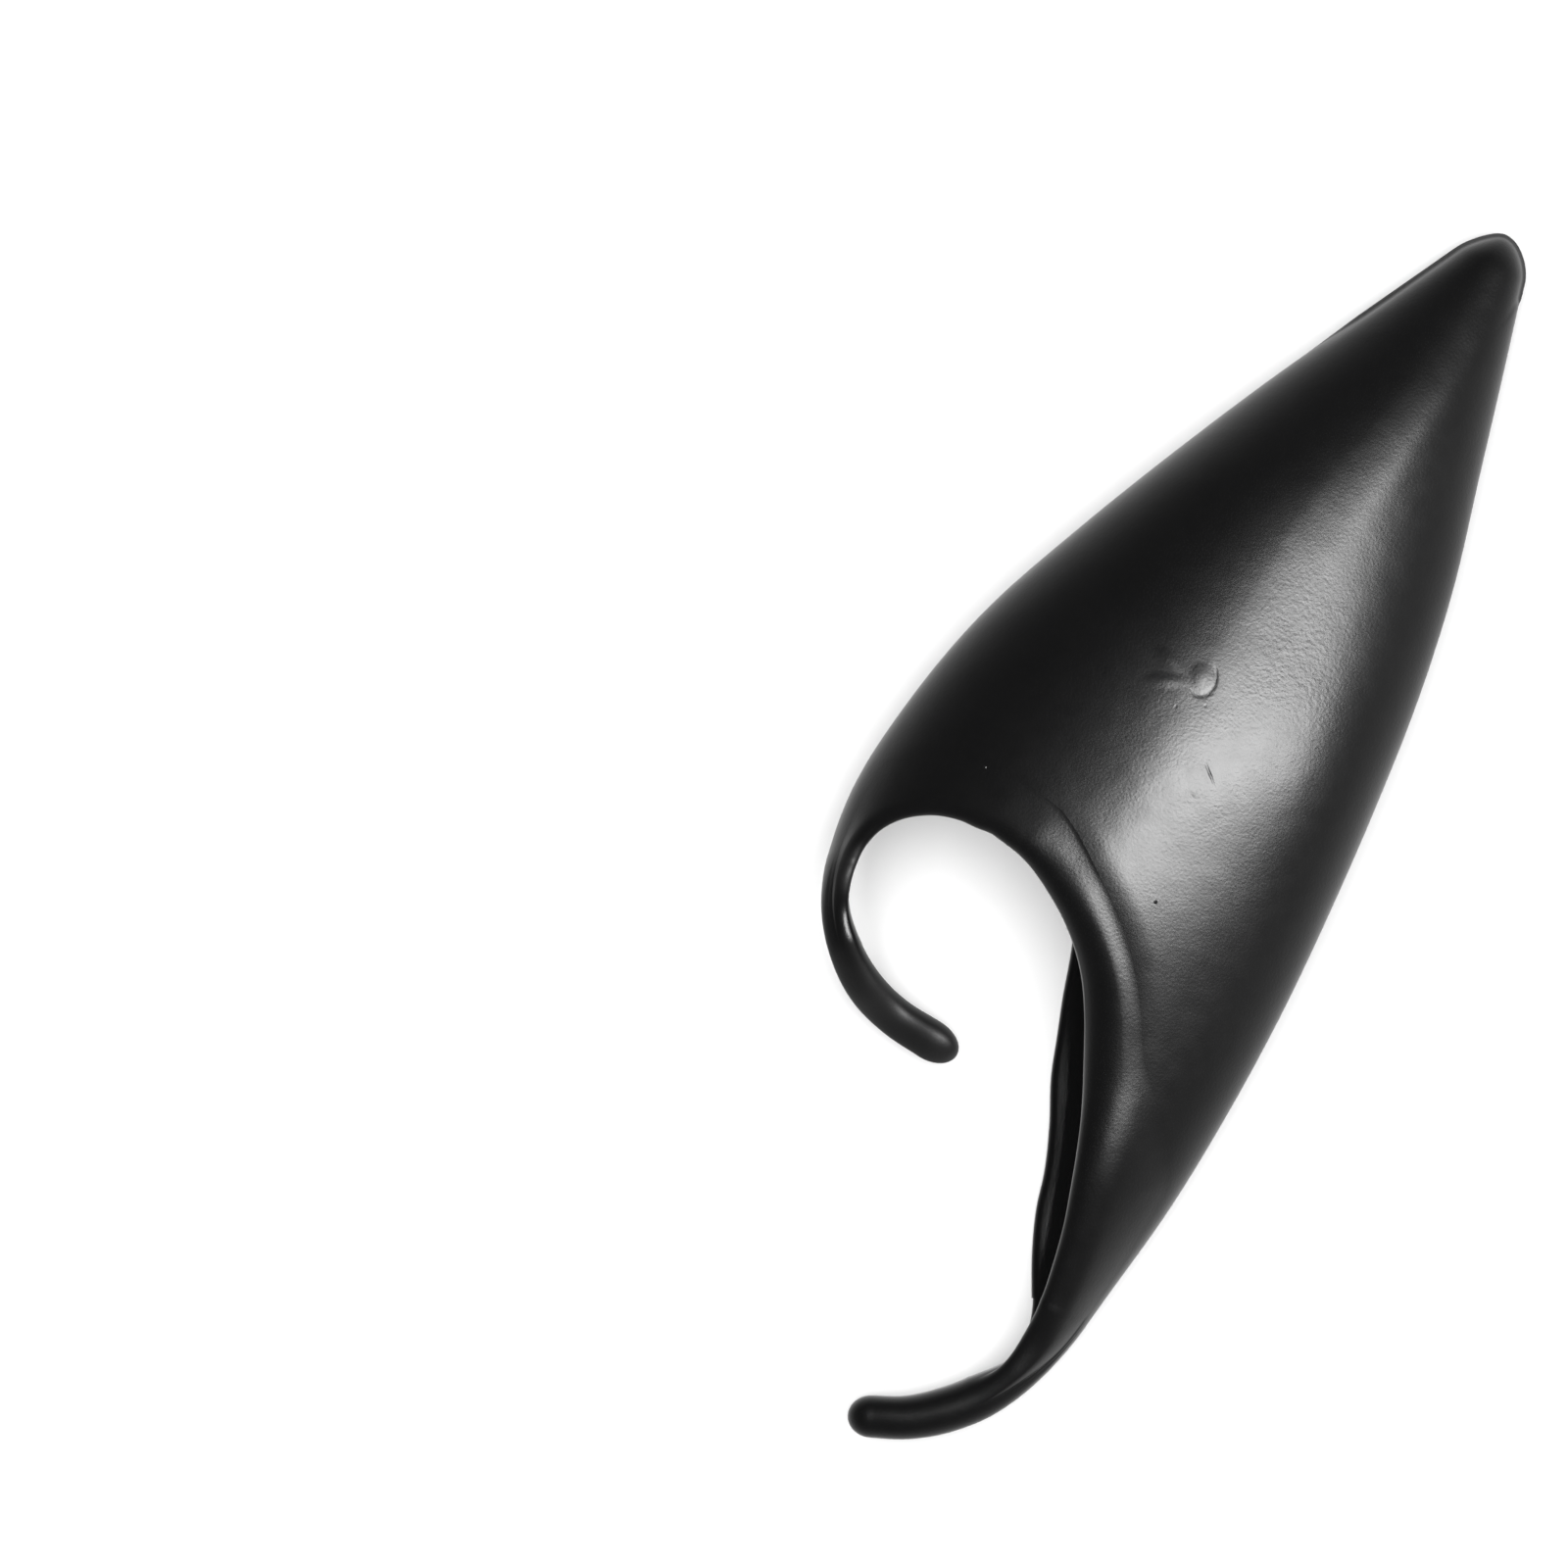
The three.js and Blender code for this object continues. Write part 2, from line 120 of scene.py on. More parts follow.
# Ribs of the hook, the body and the tail, in that order round the mouth.
hook = columns("front_across front_along width reach rise drop lip hollow lift", [
    [-0.223, 0.299, 1.00, 0.56, 0.60, 0.61, 0.64, 0.0, 0.00],
    [-0.307, 0.302, 0.97, 0.72, 0.63, 0.57, 0.61, 0.0, 0.07],
    [-0.382, 0.311, 0.94, 1.11, 0.98, 0.83, 0.55, 0.0, 0.60],
    [-0.450, 0.327, 0.83, 1.94, 1.30, 1.09, 0.49, 0.0, 1.20],
    [-0.500, 0.349, 0.76, 3.61, 1.56, 1.24, 0.46, 0.3, 1.45],
])
body = columns("front_across front_along back_across back_along fold_along lip", [
    [-0.524, 0.377, -0.535, 0.377, 0.375, 0.46],
    [-0.517, 0.400, -0.526, 0.408, 0.429, 0.48],
    [-0.486, 0.418, -0.495, 0.435, 0.517, 0.51],
    [-0.436, 0.431, -0.441, 0.453, 0.617, 0.55],
    [-0.384, 0.437, -0.382, 0.464, 0.725, 0.57],
    [-0.342, 0.438, -0.335, 0.469, 0.833, 0.59],
    [-0.311, 0.439, -0.300, 0.471, 0.917, 0.60],
    [-0.290, 0.438, -0.276, 0.471, 0.967, 0.61],
    [-0.274, 0.437, -0.257, 0.470, 0.992, 0.61],
    [-0.259, 0.436, -0.241, 0.469, 1.000, 0.62],
    [-0.245, 0.435, -0.224, 0.467, 0.992, 0.63],
    [-0.226, 0.433, -0.203, 0.464, 0.967, 0.65],
    [-0.198, 0.429, -0.172, 0.458, 0.908, 0.68],
    [-0.156, 0.421, -0.132, 0.447, 0.817, 0.73],
    [-0.104, 0.409, -0.094, 0.429, 0.717, 0.80],
    [-0.052, 0.393, -0.064, 0.407, 0.613, 0.88],
    [-0.007, 0.374, -0.040, 0.382, 0.517, 0.95],
    [0.033, 0.350, -0.019, 0.356, 0.437, 0.99],
    [0.070, 0.323, 0.007, 0.328, 0.379, 1.00],
    [0.105, 0.295, 0.035, 0.298, 0.333, 1.00],
    [0.134, 0.266, 0.075, 0.267, 0.293, 0.98],
    [0.160, 0.236, 0.108, 0.236, 0.257, 0.93],
    [0.183, 0.207, 0.130, 0.206, 0.221, 0.87],
    [0.200, 0.178, 0.163, 0.176, 0.186, 0.79],
    [0.211, 0.150, 0.203, 0.147, 0.152, 0.71],
])
point_row = 9
tail = columns("front_across front_along width reach rise drop lip hollow lift", [
    [0.209, 0.123, 1.09, 0.95, 0.93, 0.71, 0.69, 0.8, 0.30],
    [0.191, 0.097, 0.99, 0.65, 0.80, 0.66, 0.67, 0.3, 0.10],
    [0.156, 0.074, 0.98, 0.58, 0.70, 0.60, 0.66, 0.0, 0.00],
    [0.105, 0.055, 0.99, 0.55, 0.61, 0.57, 0.65, 0.0, 0.00],
    [0.055, 0.041, 0.95, 0.53, 0.55, 0.53, 0.65, 0.0, 0.00],
    [-0.004, 0.031, 0.93, 0.53, 0.49, 0.48, 0.65, 0.0, 0.00],
])
hook_lean, tail_lean = 0.42, 0.12  # how far an arm's top leans towards the mouth, as a share of its height
hook_rows = len(hook["lip"])
tail_start = hook_rows + len(body["lip"]) - 1
bead_stands = (hook_rows + 10, hook_rows + 16.5)  # rows over which the lip comes to stand clear of the panel
bead_merges = (hook_rows + 17.5, hook_rows + 21)  # and over which it goes down into the tail
last_row = tail_start + len(tail["lip"])
mouth_x = np.concatenate([part["front_across"] for part in (hook, body, tail)]) * ear_width
mouth_y = np.concatenate([part["front_along"] for part in (hook, body, tail)]) * ear_length
lip_share = np.concatenate([part["lip"] for part in (hook, body, tail)])


def through(values, place):
    """A smooth curve through evenly spaced values: on each stretch a cubic whose slope at either end is half
    the step between that value's two neighbours."""
    values = np.asarray(values, dtype=float)
    last = len(values) - 1
    row = np.clip(np.floor(place).astype(int), 0, last - 1)
    t = place - row
    start, end = values[row], values[row + 1]
    before, after = values[np.maximum(row - 1, 0)], values[np.minimum(row + 2, last)]
    slope_start = np.where(row == 0, end - start, (end - before) / 2)
    slope_end = np.where(row + 1 == last, end - start, (after - start) / 2)
    return ((2 * t**3 - 3 * t**2 + 1) * start + (t**3 - 2 * t**2 + t) * slope_start
            + (3 * t**2 - 2 * t**3) * end + (t**3 - t**2) * slope_end)


def swell(share, fullness):
    """Quarter of a rounded section: the n-th root of one less the n-th power of what the share leaves."""
    left = 1 - np.clip(share, 0, 1)
    return (1 - left**fullness) ** (1 / fullness)


def smoothstep(value, low, high):
    """0 below low and 1 above high, with a cubic between them that is level at both ends."""
    t = np.clip((value - low) / (high - low), 0, 1)
    return t * t * (3 - 2 * t)


def section_at(y, inset):
    """The body's section at a height along the ear, for a surface that lies inset under the outside."""
    place = (1 - y / ear_length) / section_step
    cut = {name: through(values, place) for name, values in sections.items()}
    cap = swell((ear_length - point_solid * inset / wall - y) / point_rounding, 2)
    crest = cut["crest"] * ear_width
    return {
        "crest": crest,
        "left": (crest - cut["left"] * ear_width - inset) * cap,
        "right": (cut["right"] * ear_width - crest - inset) * cap,
        "rise": (cut["rise"] * front_rise - inset) * cap,
        "drop": (cut["drop"] * back_drop - inset) * cap,
        "rear": cut["rear"],
        "fold": cut["drop"] * back_drop,
    }


def body_height(x, y, front, inset):
    """Height of a body panel over the plan: the fold's height, plus or less a quarter round to the crest."""
    at = section_at(y, inset)
    on_left = x < at["crest"]
    reach = np.maximum(np.where(on_left, at["left"], at["right"]), 1e-9)
    share = 1 - np.abs(x - at["crest"]) / reach
    if front:
        return at["fold"] + at["rise"] * swell(share, np.where(on_left, front_fullness, at["rear"]))
    return at["fold"] - at["drop"] * swell(share, back_fullness)


def front_edge(place):
    """The mouth's front edge in the plan."""
    return np.stack([through(mouth_x, place), through(mouth_y, place)], -1)


def back_edge_line(place):
    """The mouth's back edge in the plan, along the body."""
    row = place - hook_rows
    across, along = through(body["back_across"], row), through(body["back_along"], row)
    return np.stack([across * ear_width, along * ear_length], -1)


def outward(curve, place):
    """Away from the mouth: the curve's direction in the plan, turned a quarter to the left."""
    step = 0.5
    run = curve(np.minimum(place + step, last_row)) - curve(np.maximum(place - step, 0))
    run /= np.linalg.norm(run, axis=-1, keepdims=True)
    return np.stack([-run[..., 1], run[..., 0]], -1)


def body_ribs(place):
    """The ribs along the body. Each joins the outer fold to a place on the mouth's front and back edge."""
    row = place - hook_rows
    side = np.where(row < point_row, -1, 1)
    y = np.minimum(through(body["fold_along"], row), 1) * ear_length
    at = section_at(y, 0)
    mouth_along = body["front_along"][point_row]
    sink = point_solid * (np.maximum(y / ear_length - mouth_along, 0) / (1 - mouth_along)) ** 2
    under = section_at(y - sink, wall)
    return {
        "fold": np.stack([at["crest"] + side * np.where(side < 0, at["left"], at["right"]), y], -1),
        "inside_fold": np.stack([under["crest"] + side * np.where(side < 0, under["left"], under["right"]),
                                 y - sink], -1),
        "fold_height": at["fold"],
        "inside_fold_height": under["fold"],
        "front_edge": front_edge(place),
        "front_out": outward(front_edge, place),
        "back_edge": back_edge_line(place),
        "back_out": outward(back_edge_line, place),
        "hollow": np.ones_like(place),
        "height": body_height,
    }


def arm_ribs(place, rows, width, thickness, first_row, start_first):
    """The ribs along an arm: straight across it, square to the mouth's front edge. Where the arm meets the
    body it starts from the body's own section."""
    join = np.array([float(tail_start if start_first else hook_rows)])
    rib = body_ribs(join)
    at = section_at(rib["fold"][:, 1], 0)
    own = {
        "width": np.linalg.norm(rib["front_edge"] - rib["fold"], axis=-1),
        "back": np.linalg.norm(rib["back_edge"] - rib["fold"], axis=-1),
        "reach": at["right"] if start_first else at["left"],
        "rise": at["rise"],
        "drop": at["drop"],
        "hollow": np.ones(1),
        "lift": at["drop"],
    }
    sized = {
        "width": rows["width"] * width,
        "back": rows["width"] * width * arm_back_share,
        "reach": rows["reach"] * width,
        "rise": rows["rise"] * thickness,
        "drop": rows["drop"] * thickness,
        "hollow": rows["hollow"],
        "lift": rows["lift"] * thickness,
    }
    pick = {}
    for name, values in sized.items():
        joined = [own[name], values] if start_first else [values, own[name]]
        pick[name] = through(np.concatenate(joined), place - first_row)
    out = outward(front_edge, place)
    edge = front_edge(place)
    fold = edge + out * pick["width"][:, None]

    def arm_height(x, y, front, inset):
        """Height of an arm's surface: a quarter round from the fold to where the arm is highest."""
        from_fold = (fold[:, None, 0] - x) * out[:, None, 0] + (fold[:, None, 1] - y) * out[:, None, 1]
        share = (from_fold - inset) / (pick["reach"][:, None] - inset)
        rise, drop = pick["rise"][:, None], pick["drop"][:, None]
        if front:
            return drop + (rise - inset) * swell(share, front_fullness)
        return drop - (drop - inset) * swell(share, back_fullness)

    return {
        "fold": fold,
        "inside_fold": fold - out * wall,
        "fold_height": pick["drop"],
        "inside_fold_height": pick["drop"],
        "front_edge": edge,
        "front_out": out,
        "back_edge": fold - out * pick["back"][:, None],
        "back_out": out,
        "hollow": np.clip(pick["hollow"], 0, 1),
        "height": arm_height,
        "round_middle": fold - out * pick["width"][:, None] / 2,
        "round_half": pick["width"][:, None] / 2,
        "round_top": (pick["rise"] + pick["drop"])[:, None],
        "underside": np.maximum(pick["lift"], 0)[:, None],
        "section_lean": tail_lean if start_first else hook_lean,
    }


blister_across, blister_along = -2.98 * MM, 72.96 * MM
blister_half_wide, blister_half_long = 1.15 * MM, 1.45 * MM
blister_height = 0.05 * MM
crease_depth = 0.045 * MM
blister_steps = np.linspace(0.570, 0.636, 36)  # more points across it, as shares of a rib's steps
blister_ribs = np.linspace(15.05, 16.75, 18)  # and more ribs, by their row
crease_reach, crease_half = 1.12, 0.14  # the crease's place and half width, in the blister's half axes
ear_lean = math.radians(26.5)  # how far the ear's length leans to the right in the photograph


def blister(x, y):
    """Trapped air raised the skin: a dome over an ellipse, with a crease round its lower right. Its height is
    the square of one less the square of the place's share of the way out to the rim."""
    right = (x - blister_across) * math.cos(ear_lean) + (y - blister_along) * math.sin(ear_lean)
    up = (y - blister_along) * math.cos(ear_lean) - (x - blister_across) * math.sin(ear_lean)
    out = np.hypot(right / blister_half_wide, up / blister_half_long)
    dome = blister_height * (1 - np.clip(out, 0, 1) ** 2) ** 2
    lower_right = smoothstep((right - up) / blister_half_long, -0.2, 0.8)
    return dome - crease_depth * lower_right * np.exp(-(((out - crease_reach) / crease_half) ** 2))


# The front panel isn't quite even. Low swellings: middle, half axes and height in mm, and turn in degrees.
swellings = columns("across along half_wide half_long turn stands", [
    [4.3, 104.4, 5, 12, -8, 0.45],
    [4.3, 99.0, 2, 10, -8, 0.12],
    [-0.8, 63.5, 6, 5, 0, 0.12],
])


def waves(x, y):
    """The swellings' height: each is a bell over an ellipse."""
    total = 0
    for across, along, half_wide, half_long, turn, stands in zip(*swellings.values()):
        right, up, lean = x / MM - across, y / MM - along, math.radians(turn)
        over = (right * math.cos(lean) + up * math.sin(lean)) / half_wide
        on = (up * math.cos(lean) - right * math.sin(lean)) / half_long
        total = total + stands * MM * np.exp(-(over**2) - on**2)
    return total


def panel(rib, front, lip, outside_steps, edge_steps, inside_steps):
    """One panel of every rib, as points from the outer fold to the mouth, round the edge, and back inside.
    The edge is an ellipse that hangs from the middle of the latex. A cubic fillet leads into it."""
    edge = rib["front_edge" if front else "back_edge"]
    out = rib["front_out" if front else "back_out"]
    up = 1 if front else -1
    width = np.linalg.norm(edge - rib["fold"], axis=-1)
    half_width, half_thick = lip["width"] / 2, lip["thickness"] / 2

    def height(points, inset):
        from_edge = np.linalg.norm(points - edge[:, None], axis=-1)
        dip = (lip["dip"] * np.minimum(width / mouth_dip_reach, 1))[:, None] * (
            1 - smoothstep(from_edge, 0, mouth_dip_reach))
        return rib["height"](points[..., 0], points[..., 1], front, inset) - (dip if front else 0)

    def middle(distance):
        return height((edge + out * distance[:, None])[:, None], wall / 2)[:, 0]

    probe = 0.2 * MM
    panel_lean = np.arctan2(middle(half_width) - middle(half_width + probe), probe)
    turned = lip["turned"] * smoothstep(width, lip_width, lip_turn_reach * lip_width)
    lean = panel_lean - up * turned * lip_turn
    extent = np.hypot(half_width * np.cos(lean), half_thick * np.sin(lean))
    hang = turned * half_width
    centre_height = middle(extent + hang * np.cos(lean)) + hang * np.sin(lean)

    def ellipse(angle):
        """Points of the edge's ellipse, as distance from the mouth and height."""
        run = half_width[:, None] * np.cos(angle)
        stand = half_thick[:, None] * np.sin(angle) + lip["lift"][:, None]
        from_mouth = extent[:, None] - np.cos(lean)[:, None] * run + up * np.sin(lean)[:, None] * stand
        rise = np.sin(lean)[:, None] * run + up * np.cos(lean)[:, None] * stand
        return from_mouth, centre_height[:, None] + rise

    first = math.pi - np.arcsin(np.minimum((wall / 2 - lip["lift"]) / half_thick, 1)) - lip["fillet_turn"]
    final = np.arcsin(np.minimum((wall / 2 + lip["lift"]) / half_thick, 1)) - math.pi
    share = np.linspace(0, 1, edge_steps + 1)
    angles = first[:, None] + (final - first)[:, None] * share
    from_mouth, z = ellipse(angles)
    flat = edge[:, None] + out[:, None] * from_mouth[..., None]
    edge_points = np.concatenate([flat, z[..., None]], -1)

    # the fillet: a cubic from the panel's outside to the ellipse, along both their slopes
    room = np.maximum(width - from_mouth[:, 0], 0)
    start = from_mouth[:, 0] + np.minimum(lip["fillet"], lip["fillet_share"] * room)
    before = (edge + out * (start + probe)[:, None])[:, None]
    at_start = (edge + out * start[:, None])[:, None]
    z_start = height(at_start, 0)[:, 0]
    slope_start = (z_start - height(before, 0)[:, 0]) / probe
    ahead_s, ahead_z = ellipse(angles[:, :1] - 0.02)
    run_s, run_z = ahead_s[:, 0] - from_mouth[:, 0], ahead_z[:, 0] - z[:, 0]
    size = np.hypot(run_s, run_z)
    span = start - from_mouth[:, 0]
    t = (np.arange(lip["fillet_steps"]) / lip["fillet_steps"])[None]
    h00, h10, h01, h11 = 2 * t**3 - 3 * t**2 + 1, t**3 - 2 * t**2 + t, 3 * t**2 - 2 * t**3, t**3 - t**2
    fillet_s = (h00 * start[:, None] - h10 * span[:, None] + h01 * from_mouth[:, :1]
                + h11 * (run_s / size * span)[:, None])
    fillet_z = (h00 * z_start[:, None] + h10 * (slope_start * span)[:, None] + h01 * z[:, :1]
                + h11 * (run_z / size * span)[:, None])
    fillet = np.concatenate([edge[:, None] + out[:, None] * fillet_s[..., None], fillet_z[..., None]], -1)

    def stretch(start_flat, end_flat, inset, t, start_height):
        """A rib that leaves the mouth square to its edge: a bent line in the plan, at the panel's height."""
        run = start_flat - end_flat
        square = np.maximum((run * out).sum(-1), 0) ** 2 / np.linalg.norm(run, axis=-1)
        bend = end_flat + out * (rib_bend * square)[:, None]
        t = t[None, :, None]
        points = ((1 - t) ** 2 * start_flat[:, None] + 2 * t * (1 - t) * bend[:, None]
                  + t**2 * end_flat[:, None])
        z = height(points, inset)
        z[:, 0] = start_height
        return np.concatenate([points, z[..., None]], -1)

    u = np.arange(outside_steps) / outside_steps
    if front:
        u = np.sort(np.concatenate([u, blister_steps]))
    outside = stretch(rib["fold"], fillet[:, 0, :2], 0, (1 - np.cos(u * math.pi)) / 2, rib["fold_height"])
    if front:
        x, y = outside[..., 0], outside[..., 1]
        outside[..., 2] += blister(x, y) + waves(x, y)
    u = np.arange(inside_steps) / inside_steps
    inside = stretch(rib["inside_fold"], edge_points[:, -1, :2], wall, 1 - np.cos(u * math.pi / 2),
                     rib["inside_fold_height"])
    return np.concatenate([outside, fillet, edge_points], 1), inside


seam_height, seam_half = 0.34 * MM, 0.30 * MM
seam_inset, seam_reach = 0.14 * MM, 3 * MM
seam_left, seam_right = (102 * MM, 109 * MM), (114.9 * MM, 115.7 * MM)  # where it starts on either side
# where the lip is flush, what is added or taken where it stands clear, and then where it goes into the tail
dip_flush, dip_beside_bead, dip_lost = 0.32, 0.56, 0.9  # shares of mouth_dip
fillet_flush, fillet_less, fillet_more = 3.6 * MM, 1.8 * MM, 3.0 * MM
back_fillet = 0.6 * MM


def rings(rib, place, steps):
    """The whole closed section of every rib: front panel, lip, hollow, back edge and back panel."""
    share = through(lip_share, place)
    bead = smoothstep(place, *bead_stands)
    merged = smoothstep(place, *bead_merges)
    front, front_inside = panel(rib, True, {
        "width": lip_width * share,
        "thickness": lip_thickness * share,
        "lift": lip_lift * share,
        "turned": rib["hollow"] * smoothstep(share, lip_turn_starts, lip_turn_ends),
        "dip": mouth_dip * (dip_flush + dip_beside_bead * bead) * (1 - dip_lost * merged),
        "fillet": fillet_flush - fillet_less * bead + fillet_more * merged,
        "fillet_share": 0.3 + 0.5 * merged,
        "fillet_turn": 0.8,
        "fillet_steps": steps["fillet"],
    }, steps["front"], steps["lip"], steps["inside"])
    even = np.ones_like(share)
    back, back_inside = panel(rib, False, {
        "width": back_edge * even,
        "thickness": back_edge * even,
        "lift": 0 * even,
        "turned": 0 * even,
        "dip": 0 * even,
        "fillet": back_fillet * even,
        "fillet_share": 0.3 * even,
        "fillet_turn": 0.0,
        "fillet_steps": 3,
    }, steps["back"], steps["back_edge"], steps["inside"])
    inside = np.concatenate([front_inside[:, ::-1], back_inside[:, 1:]], 1)
    groups = [front[:, :-steps["lip"] - 1], front[:, -steps["lip"] - 1:], inside,
              back[:, ::-1][:, :steps["back_edge"] + 1], back[:, ::-1][:, steps["back_edge"] + 1:-1]]
    ring = np.concatenate(groups, 1)
    if "round_middle" not in rib:
        # the mould's parting line: a thin ridge along the outer fold, over a band that is drawn in a little
        fold = np.concatenate([rib["fold"], rib["fold_height"][:, None]], -1)[:, None]
        away = np.linalg.norm(ring - fold, axis=-1)
        run = np.gradient(rib["fold"], axis=0)
        out = np.stack([-run[:, 1], run[:, 0]], -1) / np.linalg.norm(run, axis=1, keepdims=True)
        y = rib["fold"][:, 1]
        on_left = place < hook_rows + point_row
        stands = np.where(on_left, smoothstep(y, *seam_left), smoothstep(y, *seam_right))
        ridge = seam_height * np.exp(-((away / seam_half) ** 2))
        shift = ridge - seam_inset * np.exp(-((away / seam_reach) ** 2))
        ring[..., :2] += (shift * stands[:, None])[..., None] * out[:, None]
        return ring

    # towards its end an arm fills up to a plain section, half round above and below
    turns = [np.linspace(start, end, group.shape[1], endpoint=False)
             for group, start, end in zip(groups, round_turns[:-1], round_turns[1:])]
    turn = np.radians(np.concatenate(turns))[None]
    lean = 1 - rib["section_lean"] * np.cos(turn) * (turn < math.pi)
    sideways = (rib["round_half"] * np.cos(turn))[..., None]
    flat = rib["round_middle"][:, None] + rib["front_out"][:, None] * sideways
    tall = np.minimum(rib["round_half"], (rib["round_top"] - rib["underside"]) / 2)
    middle = np.where(turn < math.pi, rib["round_top"] - tall, rib["underside"] + tall)
    filled = np.concatenate([flat, (middle + tall * np.sin(turn) * lean)[..., None]], -1)
    return ring + (filled - ring) * (1 - rib["hollow"])[:, None, None]


rib_steps = 10
ring_steps = {"front": 84, "fillet": 8, "lip": 20, "inside": 18, "back_edge": 8, "back": 36}
hook_place = np.arange(0, hook_rows * rib_steps) / rib_steps
body_place = np.sort(np.concatenate([
    np.arange(hook_rows * rib_steps, tail_start * rib_steps + 1) / rib_steps, blister_ribs]))
tail_place = np.arange(tail_start * rib_steps + 1, last_row * rib_steps + 1) / rib_steps
shell_rings = np.concatenate([
    rings(arm_ribs(hook_place, hook, hook_width, hook_thickness, 0, False), hook_place, ring_steps),
    rings(body_ribs(body_place), body_place, ring_steps),
    rings(arm_ribs(tail_place, tail, tail_width, tail_thickness, tail_start, True), tail_place, ring_steps),
])


def rounded_end(ring, towards, steps):
    """Rings that close an arm: the end ring shrinks by a cosine while it moves out by its radius's sine."""
    centre = (ring.min(0) + ring.max(0)) / 2
    radius = np.linalg.norm(ring - centre, axis=1).max()
    turn = (np.arange(1, steps) / steps * math.pi / 2)[:, None, None]
    made = centre + towards * radius * np.sin(turn) + (ring - centre) * np.cos(turn)
    return made, centre + towards * radius


end_steps = 10
run_start = front_edge(np.array([0.0])) - front_edge(np.array([0.5]))
run_end = front_edge(np.array([float(last_row)])) - front_edge(np.array([last_row - 0.5]))
hook_towards = np.append(run_start[0], 0) / np.linalg.norm(run_start)
tail_towards = np.append(run_end[0], 0) / np.linalg.norm(run_end)
hook_cap, hook_pole = rounded_end(shell_rings[0], hook_towards, end_steps)
tail_cap, tail_pole = rounded_end(shell_rings[-1], tail_towards, end_steps)
all_rings = np.concatenate([hook_cap[::-1], shell_rings, tail_cap])


def closed_mesh(name, grid, first_pole, last_pole):
    """A closed mesh from a grid of rings: a quad between each pair of neighbours, and a fan to each pole."""
    ring_count, ring_size = grid.shape[:2]
    vertices = np.concatenate([grid.reshape(-1, 3), first_pole[None], last_pole[None]])
    ring = np.arange(ring_count - 1)[:, None] * ring_size
    spot = np.arange(ring_size)[None]
    following = (spot + 1) % ring_size
    next_ring = ring + ring_size
    quads = np.stack([ring + spot, ring + following, next_ring + following, next_ring + spot], -1)
    last_ring = (ring_count - 1) * ring_size
    first, last = np.full(ring_size, len(vertices) - 2), np.full(ring_size, len(vertices) - 1)
    first_fan = np.stack([first, following[0], spot[0]], -1)
    last_fan = np.stack([last, last_ring + spot[0], last_ring + following[0]], -1)
    faces = quads.reshape(-1, 4).tolist() + first_fan.tolist() + last_fan.tolist()
    mesh = bpy.data.meshes.new(name)
    mesh.from_pydata(vertices.tolist(), [], faces)
    mesh.shade_smooth()
    mesh.update()
    return mesh


low, high = all_rings.min((0, 1)), all_rings.max((0, 1))
offset = np.array([(shell_low[0] + shell_high[0]) / 2 - (low[0] + high[0]) / 2,
                   (shell_low[1] + shell_high[1]) / 2 - (low[1] + high[1]) / 2,
                   shell_low[2] - low[2]])
shell = bpy.data.objects.new("latex_ear_tip", closed_mesh("latex_ear_tip", all_rings + offset,
                                                          hook_pole + offset, tail_pole + offset))
bpy.context.collection.objects.link(shell)

latex = bpy.data.materials.new("black_latex")
latex.use_nodes = True
tree = latex.node_tree
surface = tree.nodes["Principled BSDF"]
surface.inputs["Base Color"].default_value = (0.0016, 0.0016, 0.0017, 1)
surface.inputs["IOR"].default_value = 1.56
where = tree.nodes.new("ShaderNodeTexCoord").outputs["Object"]


def reckon(tree, operation, first, second):
    """One step of arithmetic on two sockets or numbers, as a Math node's output."""
    node = tree.nodes.new("ShaderNodeMath")
    node.operation = operation
    for socket, value in zip(node.inputs, (first, second)):
        if isinstance(value, (int, float)):
            socket.default_value = value
        else:
            tree.links.new(value, socket)
    return node.outputs[0]


def unevenness(cell, detail, share):
    """Noise from -share / 2 to share / 2 over the whole skin, with cells of about the given length."""
    noise = tree.nodes.new("ShaderNodeTexNoise")
    noise.inputs["Scale"].default_value = 1 / cell
    noise.inputs["Detail"].default_value = detail
    tree.links.new(where, noise.inputs["Vector"])
    return reckon(tree, "MULTIPLY", reckon(tree, "SUBTRACT", noise.outputs[0], 0.5), share)


def patch(across, along, half_wide, half_long, turn, soft):
    """1 inside an ellipse seen from above and 0 outside it. The place's distance from the ellipse's middle
    is counted in half axes, and the edge fades over the soft share of one."""
    place = tree.nodes.new("ShaderNodeMapping")
    place.vector_type = "TEXTURE"
    place.inputs["Location"].default_value = (across * MM, along * MM, 0)
    place.inputs["Rotation"].default_value = (0, 0, math.radians(turn))
    place.inputs["Scale"].default_value = (half_wide * MM, half_long * MM, 1)
    tree.links.new(where, place.inputs["Vector"])
    reach = tree.nodes.new("ShaderNodeVectorMath")
    reach.operation = "LENGTH"
    tree.links.new(place.outputs["Vector"], reach.inputs[0])
    fade = tree.nodes.new("ShaderNodeMapRange")
    fade.interpolation_type = "SMOOTHSTEP"
    for name, value in {"From Min": 1 - soft, "From Max": 1, "To Min": 1, "To Max": 0}.items():
        fade.inputs[name].default_value = value
    tree.links.new(reach.outputs["Value"], fade.inputs["Value"])
    return fade.outputs["Result"]


def summed(parts):
    """The sum of several sockets."""
    total = parts[0]
    for part in parts[1:]:
        total = reckon(tree, "ADD", total, part)
    return total


